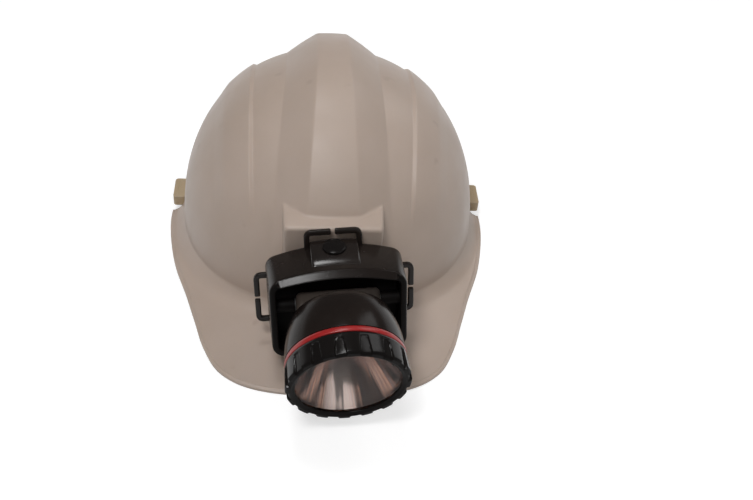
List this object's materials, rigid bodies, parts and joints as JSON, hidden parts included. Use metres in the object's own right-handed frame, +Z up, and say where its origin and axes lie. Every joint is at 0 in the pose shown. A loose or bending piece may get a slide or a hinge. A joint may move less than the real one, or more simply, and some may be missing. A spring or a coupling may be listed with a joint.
{
  "type": "miner's cap lamp",
  "caption": "Ridged hard hat with a head harness and a hooked-on cap lamp: battery housing with a top push switch, tilting round lamp head and turning bezel.",
  "frame": {"origin": "on the dome's axis, in the plane of the brim's lower edge, which is the middle of the head opening", "axes": "the wearer faces -Y, so the peak and the lamp are at -Y, the size knob is at +Y, +X is the wearer's left, and +Z is up"},
  "size_m": [0.2394, 0.3478, 0.1435],
  "materials": {
    "shell_plastic": "satin moulded white, slightly warm",
    "band_plastic": "matte grey",
    "sweatband": "padded woven cloth",
    "webbing": "woven polyester",
    "key_plastic": "natural nylon",
    "case_plastic": "fine textured black",
    "gloss_black": "glossy black",
    "head_plastic": "semi-gloss black",
    "red_trim": "glossy red",
    "steel": "bright",
    "cell_wrap": "shrink sleeve",
    "circuit_board": "solder mask",
    "board_part": "moulded",
    "friction_plastic": "matte",
    "aluminium": "plain",
    "led_substrate": "white solder mask",
    "led_phosphor": "clear dome over yellow phosphor",
    "mirror_metal": "vacuum metallised",
    "clear_lens": "polished",
    "seal_rubber": "matte"
  },
  "bodies": {
    "helmet": {"helmet_shell": "shell_plastic", "headband": "band_plastic", "brow_pad": "sweatband", "crown_strap_left": "webbing", "crown_strap_right": "webbing", "harness_keys": "key_plastic", "ratchet_housing": "case_plastic", "ratchet_cover": "case_plastic"},
    "knob": {"size_knob": "gloss_black", "knob_screw": "steel"},
    "lamp": {"lamp_housing": "case_plastic", "back_cover": "case_plastic", "cover_screws": "steel", "cap_hook": "steel", "hook_screws": "steel", "switch_pod": "gloss_black", "switch_body": "board_part", "button_spring": "steel", "battery_cell": "cell_wrap", "driver_board": "circuit_board", "board_parts": "board_part", "hinge_axle": "steel", "friction_washers": "friction_plastic"},
    "button": {"switch_button": "head_plastic"},
    "head": {"tilt_block": "case_plastic", "head_hood": "gloss_black", "hood_screws": "steel", "trim_ring": "red_trim", "heat_sink": "aluminium", "led_board": "led_substrate", "led_chip": "led_phosphor"},
    "focus": {"reflector": "mirror_metal", "lens": "clear_lens", "lens_seal": "seal_rubber"},
    "bezel": {"bezel": "head_plastic"}
  },
  "joints": [
    {"name": "knob_turn", "type": "hinge", "parent": "helmet", "child": "knob", "pos_m": [0, 0.102, 0.02], "axis": [0, 1, 0], "range_deg": [-200, 280]},
    {"name": "lamp_lift", "type": "slide", "parent": "helmet", "child": "lamp", "axis": [0, 0, 1], "range_m": [0, 0.03]},
    {"name": "button_press", "type": "slide", "parent": "lamp", "child": "button", "axis": [0.0458, 0.0034, -0.9989], "range_m": [0, 0.0012], "stiffness_N_per_m": 1500, "springref_m": -0.0006, "deforming": ["button_spring"]},
    {"name": "head_tilt", "type": "hinge", "parent": "lamp", "child": "head", "pos_m": [0.0032, -0.14379, 0.05517], "axis": [0.9957, 0.0803, 0.0459], "range_deg": [-22, 8]},
    {"name": "focus_slide", "type": "slide", "parent": "head", "child": "focus", "axis": [0.0868, -0.9822, -0.1664], "range_m": [0, 0.002]},
    {"name": "bezel_turn", "type": "hinge", "parent": "focus", "child": "bezel", "pos_m": [0.00825, -0.20357, 0.05012], "axis": [0.0868, -0.9822, -0.1664], "range_deg": [0, 120]}
  ],
  "couplings": [
    {"joint": "focus_slide", "follows": "bezel_turn", "m_per_rad": 0.00095}
  ]
}
